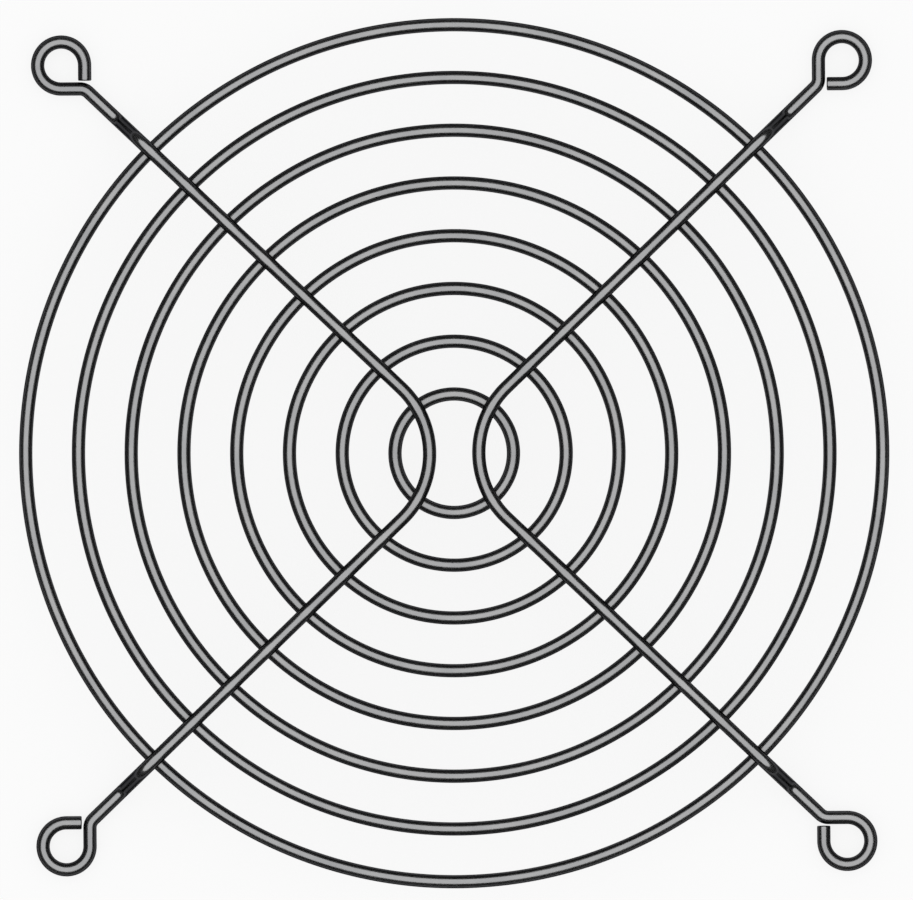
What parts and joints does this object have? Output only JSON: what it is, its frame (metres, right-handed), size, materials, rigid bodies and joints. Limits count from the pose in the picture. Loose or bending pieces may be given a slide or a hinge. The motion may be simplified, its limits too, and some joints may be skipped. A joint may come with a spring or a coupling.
{
  "type": "wire fan guard",
  "caption": "Round wire finger guard for a square axial fan, with concentric rings welded under bent rib wires that end in screw eyes at the corners.",
  "frame": {"origin": "middle of the screw hole pattern, on the plane that the four eyes seat on", "axes": "+Z points away from the fan, X and Y run along the rows of screw holes"},
  "size_m": [0.1168, 0.1168, 0.0068],
  "materials": {
    "plated_wire": "round steel wire with bright nickel-chrome plate"
  },
  "bodies": {
    "root": {"ring_1": "plated_wire", "ring_2": "plated_wire", "ring_3": "plated_wire", "ring_4": "plated_wire", "ring_5": "plated_wire", "ring_6": "plated_wire", "ring_7": "plated_wire", "ring_8": "plated_wire", "rib_wire_left": "plated_wire", "rib_wire_right": "plated_wire"}
  },
  "joints": []
}
